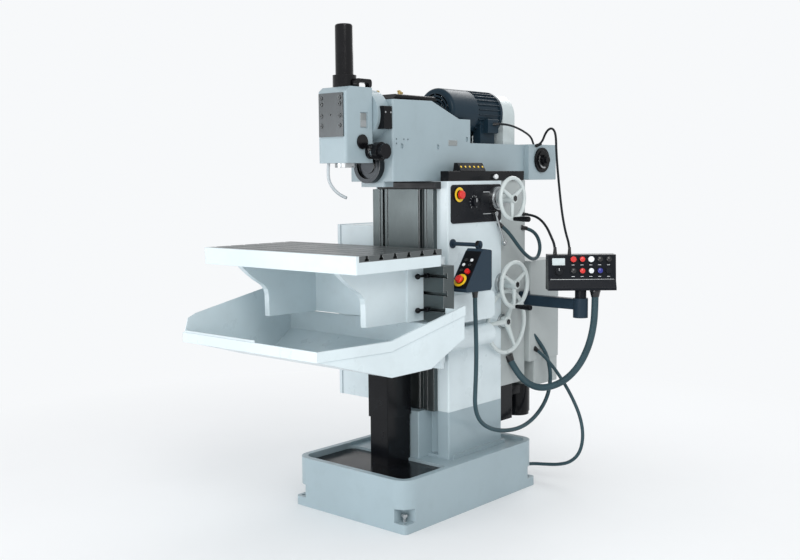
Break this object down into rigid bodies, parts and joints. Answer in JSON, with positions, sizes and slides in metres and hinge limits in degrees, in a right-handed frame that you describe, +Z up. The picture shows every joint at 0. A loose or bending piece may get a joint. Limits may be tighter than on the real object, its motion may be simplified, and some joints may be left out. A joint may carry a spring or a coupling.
{
  "type": "universal toolroom milling machine",
  "caption": "Floor-standing toolroom mill: sump base, column, lifting knee with cross slide, rigid angle table and chip tray, sliding ram, motor and tilting vertical head.",
  "frame": {"origin": "on the floor under the middle of the base's underside", "axes": "+Z up, -Y towards the operator in front of the table, +X the machine's right-hand side with its handwheels"},
  "size_m": [1.2179, 1.864, 2.072],
  "materials": {
    "cast_blue_grey": "satin machine enamel, pale blue-grey",
    "white_enamel": "satin machine enamel, white",
    "grey_green": "satin machine enamel, grey-green",
    "ground_steel": "ground and scraped cast iron and steel",
    "bright_steel": "turned steel",
    "black_sheet": "gloss black painted sheet",
    "motor_blue": "blue-black enamel",
    "black_plastic": "black moulded plastic",
    "panel_black": "black faced panel",
    "wheel_grey": "pale grey enamel on cast aluminium",
    "navy": "dark navy enamel",
    "red_plastic": "red button",
    "white_plastic": "white button",
    "hose_teal": "teal-grey sheathed hose",
    "cable_black": "black rubber cable",
    "belt_rubber": "black belt"
  },
  "bodies": {
    "machine": {"base_tub": "cast_blue_grey", "sump_plate": "black_sheet", "levelling_screws": "bright_steel", "column_lower": "cast_blue_grey", "column_upper": "white_enamel", "column_ways": "ground_steel", "rear_housing": "grey_green", "feed_drive": "black_sheet", "electrical_cabinet": "white_enamel", "lower_way_cover": "black_sheet", "handwheel_collars": "bright_steel", "side_panel": "panel_black", "control_rail": "black_sheet", "pendant_box": "navy", "control_arm": "navy", "pendant_hose": "hose_teal", "supply_cable": "hose_teal", "control_conduit": "hose_teal", "ram_cable": "cable_black", "panel_cable": "cable_black", "loop_hose": "hose_teal"},
    "cabinet_door": {"cabinet_door": "white_enamel"},
    "lifting_screw": {"lifting_screw": "bright_steel"},
    "knee": {"knee_casting": "white_enamel", "upper_way_cover": "black_sheet"},
    "table_slide": {"cross_slide": "ground_steel", "angle_table": "white_enamel", "chip_tray": "white_enamel"},
    "slide_clamp_upper": {"slide_clamp_upper": "black_plastic"},
    "slide_clamp_lower": {"slide_clamp_lower": "black_plastic"},
    "ram": {"ram_casting": "cast_blue_grey", "ram_covers": "black_sheet", "belt_housing": "cast_blue_grey", "main_motor": "motor_blue", "motor_fan_cover": "motor_blue", "drive_belt": "belt_rubber", "swivel_flange": "cast_blue_grey", "motor_lead": "cable_black"},
    "motor_shaft": {"motor_shaft": "bright_steel"},
    "horizontal_spindle": {"horizontal_spindle": "bright_steel"},
    "range_dial": {"range_dial": "black_plastic"},
    "head": {"head_casting": "cast_blue_grey", "head_face_plate": "ground_steel", "drawbar_cover": "black_plastic", "coolant_pipe": "bright_steel"},
    "quill": {"quill": "bright_steel"},
    "vertical_spindle": {"vertical_spindle": "bright_steel"},
    "quill_feed_knob": {"quill_feed_knob": "black_plastic"},
    "ram_handwheel": {"ram_handwheel": "wheel_grey"},
    "table_handwheel": {"table_handwheel": "wheel_grey"},
    "knee_handwheel": {"knee_handwheel": "wheel_grey"},
    "ram_wheel_grip": {"ram_wheel_grip": "black_plastic"},
    "table_wheel_grip": {"table_wheel_grip": "black_plastic"},
    "feed_engage_lever": {"feed_engage_lever": "bright_steel"},
    "panel_stop_button": {"panel_stop_button": "red_plastic"},
    "pendant_stop_button": {"pendant_stop_button": "red_plastic"},
    "pendant_button": {"pendant_button": "red_plastic"},
    "control_box": {"control_box": "panel_black"},
    "box_red_button": {"box_red_button": "red_plastic"},
    "box_white_button": {"box_white_button": "white_plastic"}
  },
  "joints": [
    {"name": "ram_slide", "type": "slide", "parent": "machine", "child": "ram", "axis": [0, 1, 0], "range_m": [-0.26, 0.14]},
    {"name": "head_tilt", "type": "hinge", "parent": "ram", "child": "head", "pos_m": [0, -0.368, 1.708], "axis": [0, 1, 0], "range_deg": [-45, 45]},
    {"name": "quill_feed", "type": "slide", "parent": "head", "child": "quill", "axis": [0, 0, 1], "range_m": [-0.08, 0]},
    {"name": "vertical_spin", "type": "hinge", "parent": "quill", "child": "vertical_spindle", "pos_m": [0, -0.453, 1.5], "axis": [0, 0, 1], "continuous": true},
    {"name": "quill_knob_turn", "type": "hinge", "parent": "head", "child": "quill_feed_knob", "pos_m": [0.08, -0.39, 1.555], "axis": [1, 0, 0], "range_deg": [-1100, 1100]},
    {"name": "motor_spin", "type": "hinge", "parent": "ram", "child": "motor_shaft", "pos_m": [0, 0.3, 1.745], "axis": [0, 1, 0], "continuous": true},
    {"name": "horizontal_spin", "type": "hinge", "parent": "ram", "child": "horizontal_spindle", "pos_m": [0, 0, 1.5], "axis": [0, 1, 0], "continuous": true},
    {"name": "range_dial_turn", "type": "hinge", "parent": "ram", "child": "range_dial", "pos_m": [0.15, 0.762, 1.527], "axis": [1, 0, 0], "range_deg": [-90, 90]},
    {"name": "knee_lift", "type": "slide", "parent": "machine", "child": "knee", "axis": [0, 0, 1], "range_m": [-0.17, 0.17]},
    {"name": "lifting_screw_turn", "type": "hinge", "parent": "machine", "child": "lifting_screw", "pos_m": [0, -0.16, 0.5], "axis": [0, 0, 1], "range_deg": [-7400, 7400]},
    {"name": "table_traverse", "type": "slide", "parent": "knee", "child": "table_slide", "axis": [1, 0, 0], "range_m": [-0.25, 0.25]},
    {"name": "slide_clamp_upper_turn", "type": "hinge", "parent": "table_slide", "child": "slide_clamp_upper", "pos_m": [0.286, -0.29, 1.045], "axis": [0, 1, 0], "range_deg": [-90, 90]},
    {"name": "slide_clamp_lower_turn", "type": "hinge", "parent": "table_slide", "child": "slide_clamp_lower", "pos_m": [0.286, -0.29, 0.905], "axis": [0, 1, 0], "range_deg": [-90, 90]},
    {"name": "ram_handwheel_turn", "type": "hinge", "parent": "machine", "child": "ram_handwheel", "pos_m": [0.313, 0.292, 1.35], "axis": [1, 0, 0], "range_deg": [-18800, 18800]},
    {"name": "table_handwheel_turn", "type": "hinge", "parent": "machine", "child": "table_handwheel", "pos_m": [0.29, 0.342, 0.957], "axis": [1, 0, 0], "range_deg": [-18200, 18200]},
    {"name": "knee_handwheel_turn", "type": "hinge", "parent": "machine", "child": "knee_handwheel", "pos_m": [0.24, 0.348, 0.78], "axis": [1, 0, 0], "range_deg": [-14600, 14600]},
    {"name": "ram_wheel_grip_spin", "type": "hinge", "parent": "ram_handwheel", "child": "ram_wheel_grip", "pos_m": [0.33, 0.292, 1.259], "axis": [1, 0, 0], "continuous": true},
    {"name": "table_wheel_grip_spin", "type": "hinge", "parent": "table_handwheel", "child": "table_wheel_grip", "pos_m": [0.33, 0.342, 0.856], "axis": [1, 0, 0], "continuous": true},
    {"name": "feed_engage_lever_swing", "type": "hinge", "parent": "machine", "child": "feed_engage_lever", "pos_m": [0.22, 0.278, 1.281], "axis": [1, 0, 0], "range_deg": [-30, 0]},
    {"name": "panel_stop_press", "type": "slide", "parent": "machine", "child": "panel_stop_button", "axis": [-1, 0, 0], "range_m": [0, 0.005], "stiffness_N_per_m": 3000, "springref_m": -0.001},
    {"name": "pendant_stop_press", "type": "slide", "parent": "machine", "child": "pendant_stop_button", "axis": [0, 0.8059, -0.5921], "range_m": [0, 0.005], "stiffness_N_per_m": 3000, "springref_m": -0.001},
    {"name": "pendant_button_press", "type": "slide", "parent": "machine", "child": "pendant_button", "axis": [0, 0.8059, -0.5921], "range_m": [0, 0.004], "stiffness_N_per_m": 900, "springref_m": -0.001},
    {"name": "control_box_swivel", "type": "hinge", "parent": "machine", "child": "control_box", "pos_m": [0.515, 0.545, 0.88], "axis": [0, 0, 1], "range_deg": [-20, 40]},
    {"name": "box_red_press", "type": "slide", "parent": "control_box", "child": "box_red_button", "axis": [-0.655, 0.7403, -0.1513], "range_m": [0, 0.004], "stiffness_N_per_m": 900, "springref_m": -0.001},
    {"name": "box_white_press", "type": "slide", "parent": "control_box", "child": "box_white_button", "axis": [-0.655, 0.7403, -0.1513], "range_m": [0, 0.004], "stiffness_N_per_m": 900, "springref_m": -0.001},
    {"name": "cabinet_door_swing", "type": "hinge", "parent": "machine", "child": "cabinet_door", "pos_m": [-0.4435, 0.3387, 0.82], "axis": [0, 0, 1], "range_deg": [-110, 0]}
  ],
  "couplings": [
    {"joint": "quill_knob_turn", "follows": "quill_feed", "rad_per_m": 235.62},
    {"joint": "horizontal_spin", "follows": "motor_spin", "ratio": 0.7018},
    {"joint": "vertical_spin", "follows": "motor_spin", "ratio": 0.7018},
    {"joint": "lifting_screw_turn", "follows": "knee_lift", "rad_per_m": 628.32},
    {"joint": "knee_handwheel_turn", "follows": "knee_lift", "rad_per_m": 1256.6},
    {"joint": "ram_handwheel_turn", "follows": "ram_slide", "rad_per_m": 1256.6},
    {"joint": "table_handwheel_turn", "follows": "table_traverse", "rad_per_m": 1256.6}
  ]
}
